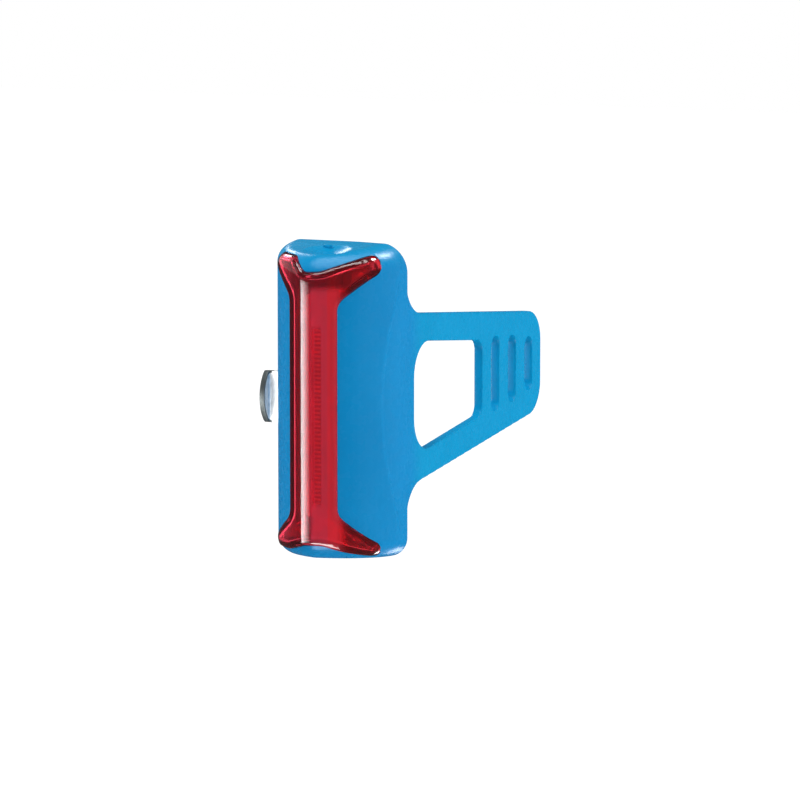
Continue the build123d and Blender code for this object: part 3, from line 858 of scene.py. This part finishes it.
def hook_finish():
    """Satin rolled sheet, with a painted dark reflection along the round edge of the lip."""
    finish, tree, shader, place = finish_nodes("polished_steel_finish")
    wear = noise(tree, place, 900)
    flat = tree.nodes.new("ShaderNodeVectorMath")
    flat.operation = "MULTIPLY"
    flat.inputs[1].default_value = (0, 1, 1)
    tree.links.new(place, flat.inputs[0])
    away = tree.nodes.new("ShaderNodeVectorMath")
    away.operation = "DISTANCE"
    away.inputs[1].default_value = (0, hook_tip + lip_round, hook_centre)
    tree.links.new(flat.outputs["Vector"], away.inputs[0])
    painted_dark_rim = tree.nodes.new("ShaderNodeMapRange")
    painted_dark_rim.inputs["From Min"].default_value = lip_round - 0.5 * mm
    painted_dark_rim.inputs["From Max"].default_value = lip_round - 0.3 * mm
    tree.links.new(away.outputs["Value"], painted_dark_rim.inputs["Value"])
    # Painted dark reflection: the band at the lip's round edge is darkened to a grey.
    lip = times(tree, painted_dark_rim.outputs["Result"], spread(tree, place, "X", lip_face, lip_face - 0.2 * mm))
    sheet = ramp(tree, wear, srgb(214, 217, 217), srgb(232, 234, 234))
    tree.links.new(blend_colours(tree, lip, sheet, srgb(92, 98, 98)), shader.inputs["Base Color"])
    tree.links.new(ramp(tree, wear, even(0.42), even(0.52)), shader.inputs["Roughness"])
    shader.inputs["Metallic"].default_value = 0.7
    return finish


def make_finishes():
    """One finish for each material slot of the record."""
    return {
        "blue_silicone": rubber_finish(),
        "red_lens": lens_finish(),
        "black_case": moulded("black_case_finish", srgb(28, 29, 31), 0.5, 3000, 0.02 * mm, 0.1),
        "black_seal": moulded("black_seal_finish", srgb(22, 22, 23), 0.7, 2600, 0.03 * mm, 0.1),
        "screw_steel": steel_finish("screw_steel_finish", 0.3),
        "polished_steel": hook_finish(),
        "green_board": board_finish(),
        "ceramic_parts": moulded("ceramic_parts_finish", srgb(58, 54, 52), 0.5, 3000, 0.01 * mm, 0.15),
        "white_carrier": moulded("white_carrier_finish", srgb(232, 232, 228), 0.45, 2400, 0.01 * mm, 0.03),
        "board_aluminium": moulded("board_aluminium_finish", srgb(235, 236, 234), 0.4, 2400, 0.01 * mm, 0.03),
        "phosphor": strip_finish(),
        "wire_cover": moulded("wire_cover_finish", srgb(190, 24, 26), 0.45, 2600, 0.01 * mm, 0.08),
        "battery_foil": moulded("battery_foil_finish", srgb(186, 188, 192), 0.35, 900, 0.05 * mm, 0.06, 0.6),
    }


def dress(obj, slot, finishes):
    """Gives a piece its slot's finish and no other."""
    obj.data.materials.clear()
    obj.data.materials.append(finishes[slot])
    return obj


# Camera and light. The camera's values were fitted to points measured in the photograph.

camera_place = (0.4429, -0.9685, 0.1473)
camera_across = (0.91404, 0.40562, 0)
camera_up = (-0.05582, 0.12579, 0.99049)
camera_lens = 206.4


def make_camera():
    """Stands where the photograph was taken from, 24 degrees to the strap's side and 8 degrees up."""
    data = bpy.data.cameras.new("camera")
    camera = bpy.data.objects.new("camera", data)
    bpy.context.scene.collection.objects.link(camera)
    across, up = Vector(camera_across), Vector(camera_up)
    turned = Matrix((across, up, across.cross(up))).transposed().to_4x4()
    camera.matrix_world = Matrix.Translation(camera_place) @ turned
    data.lens = camera_lens
    data.clip_start, data.clip_end = 0.05, 20
    bpy.context.scene.camera = camera


def faced(thing, azimuth, elevation, distance):
    """Turns a panel to the light from a side. Azimuth 0 is in front, and grows to the strap's side."""
    a, e = math.radians(azimuth), math.radians(elevation)
    way = Vector((math.sin(a) * math.cos(e), -math.cos(a) * math.cos(e), math.sin(e)))
    thing.location = way * distance
    thing.rotation_euler = way.to_track_quat("Z", "Y").to_euler()


def softbox(name, place, width, height, watts, far_side, shine=True, soft=True):
    """A soft panel. One that gives no shine only fills, and one that isn't soft only shines."""
    data = bpy.data.lights.new(name, "AREA")
    data.shape = "RECTANGLE"
    data.size, data.size_y = width, height
    data.energy = watts
    panel = bpy.data.objects.new(name, data)
    bpy.context.scene.collection.objects.link(panel)
    faced(panel, *place)
    panel.visible_camera = False
    panel.visible_glossy = shine
    panel.visible_diffuse = soft
    if far_side < 1:
        data.use_nodes = True
        tree = data.node_tree
        across = tree.nodes.new("ShaderNodeNewGeometry")
        fade = spread(tree, across.outputs["Parametric"], "X", 0.0, 1.0)
        tree.links.new(from_to(tree, fade, 1.0, far_side), tree.nodes["Emission"].inputs["Strength"])


def backdrop_rays(tree):
    """1 for the rays of the camera, of glass and of gloss, which all see the backdrop."""
    rays = tree.nodes.new("ShaderNodeLightPath")
    total = rays.outputs["Is Camera Ray"]
    for label in ("Is Glossy Ray", "Is Transmission Ray"):
        both = tree.nodes.new("ShaderNodeMath")
        both.operation = "MAXIMUM"
        tree.links.new(total, both.inputs[0])
        tree.links.new(rays.outputs[label], both.inputs[1])
        total = both.outputs["Value"]
    return total


def make_world():
    """White where it is seen, half as strong where it lights the piece."""
    world = bpy.data.worlds.new("studio")
    bpy.context.scene.world = world
    world.use_nodes = True
    tree = world.node_tree
    tree.nodes.clear()
    out = tree.nodes.new("ShaderNodeOutputWorld")
    mix = tree.nodes.new("ShaderNodeMixShader")
    soft = tree.nodes.new("ShaderNodeBackground")
    soft.inputs["Strength"].default_value = 0.5
    white = tree.nodes.new("ShaderNodeBackground")
    white.inputs["Strength"].default_value = 1.0
    for node in (soft, white):
        node.inputs["Color"].default_value = even(1)
    tree.links.new(backdrop_rays(tree), mix.inputs["Fac"])
    tree.links.new(soft.outputs[0], mix.inputs[1])
    tree.links.new(white.outputs[0], mix.inputs[2])
    tree.links.new(mix.outputs[0], out.inputs["Surface"])


def make_floor():
    """A pale floor that looks white to the camera, apart from the shadow on it."""
    bpy.ops.object.select_all(action="DESELECT")
    bpy.ops.mesh.primitive_plane_add(size=8, location=(0, 0, -0.25))
    floor = bpy.context.object
    floor.name = "floor"
    finish = bpy.data.materials.new("floor_white")
    finish.use_nodes = True
    tree = finish.node_tree
    shader = tree.nodes["Principled BSDF"]
    shader.inputs["Base Color"].default_value = even(0.9)
    shader.inputs["Roughness"].default_value = 0.9
    glow = tree.nodes.new("ShaderNodeEmission")
    glow.inputs["Strength"].default_value = 1.15
    mix = tree.nodes.new("ShaderNodeMixShader")
    share = tree.nodes.new("ShaderNodeMath")
    share.operation = "MULTIPLY"
    share.inputs[1].default_value = 0.9
    tree.links.new(backdrop_rays(tree), share.inputs[0])
    tree.links.new(share.outputs["Value"], mix.inputs["Fac"])
    tree.links.new(shader.outputs[0], mix.inputs[1])
    tree.links.new(glow.outputs[0], mix.inputs[2])
    tree.links.new(mix.outputs[0], tree.nodes["Material Output"].inputs["Surface"])
    floor.data.materials.append(finish)


def card(name, place, width, height, level):
    """A card that only gloss sees, as a studio sets round a shiny lens: dark, or a pale grey."""
    bpy.ops.object.select_all(action="DESELECT")
    bpy.ops.mesh.primitive_plane_add(size=1)
    sheet = bpy.context.object
    sheet.name = name
    sheet.scale = (width, height, 1)
    faced(sheet, *place)
    finish = bpy.data.materials.new(name)
    finish.use_nodes = True
    shader = finish.node_tree.nodes["Principled BSDF"]
    shader.inputs["Base Color"].default_value = even(0.02)
    shader.inputs["Roughness"].default_value = 0.9
    shader.inputs["Emission Color"].default_value = even(1)
    shader.inputs["Emission Strength"].default_value = level
    sheet.data.materials.append(finish)
    for ray in ("camera", "diffuse", "transmission", "volume_scatter", "shadow"):
        setattr(sheet, "visible_" + ray, False)


# Panels: name, (azimuth, elevation, distance), width, height, watts, and the share left at the far side
shine_boxes = (
    ("left_front_box", (-33, -18, 0.50), 0.32, 0.27, 4.8, 0.1),
    ("overhead_box", (70, 80, 0.5), 0.45, 0.32, 3.6, 1.0),
    ("back_right_box", (154, 48, 0.5), 0.10, 0.10, 1.4, 1.0),
    ("back_left_box", (-143, 28, 0.5), 0.06, 0.07, 0.2, 1.0),
    ("low_front_box", (15, -48, 0.26), 0.18, 0.14, 1.3, 1.0),
    ("low_back_box", (167, -42, 0.32), 0.10, 0.08, 0.2, 1.0),
)
fill_boxes = (
    ("right_fill", (95, 5, 0.9), 0.8, 0.8, 3.0, 1.0),
    ("rear_fill", (140, 5, 0.9), 0.8, 0.8, 2.8, 1.0),
    ("left_fill", (-112, 5, 0.9), 0.8, 0.8, 2.6, 1.0),
    ("top_fill", (-50, 62, 0.8), 0.3, 0.3, 3.2, 1.0),
)


def make_studio():
    """Soft lamps that shine, softer ones that fill, and cards for the gloss to see."""
    make_camera()
    make_world()
    make_floor()
    for panel in shine_boxes:
        softbox(*panel, soft=False)
    for panel in fill_boxes:
        softbox(*panel, shine=False)
    card("pale_card", (-98, 26, 1.0), 1.3, 0.8, 0.8)
    for number in range(12):
        card(f"dark_card_{number}", (30 * number, 0, 1.2), 0.68, 2.4, 0.05)
    card("dark_card_above", (0, 90, 1.2), 2.4, 2.4, 0.05)
    card("dark_card_below", (0, -90, 0.24), 2.4, 2.4, 0.05)
    bpy.context.scene.view_settings.view_transform = "Standard"


# The whole light

def main():
    finishes = make_finishes()
    for part in frame["record"]["subparts"]:
        dress(frame["nodes"][part["node"]], part["material_slot"], finishes)
    rubber, button, flap, straps, cuts = make_rubber()
    for piece in (rubber, button, flap, *straps):
        dress(smooth(piece), "blue_silicone", finishes)
    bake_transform(rubber)
    for number, piece in enumerate(straps):
        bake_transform(piece)
    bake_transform(button)
    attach(flap, "port_flap")
    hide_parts("silicone_boot")
    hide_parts("button_pad")
    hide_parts("port_plug")
    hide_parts("strap_upper_arm", "strap_lower_arm")
    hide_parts("strap_yoke")
    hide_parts("strap_web", "strap_tab")
    lens = dress(smooth(make_lens()), "red_lens", finishes)
    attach(lens, "light")
    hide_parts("lens")
    hook = dress(smooth(make_hook()), "polished_steel", finishes)
    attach(hook, "light")
    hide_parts("steel_hook")
    make_studio()


main()
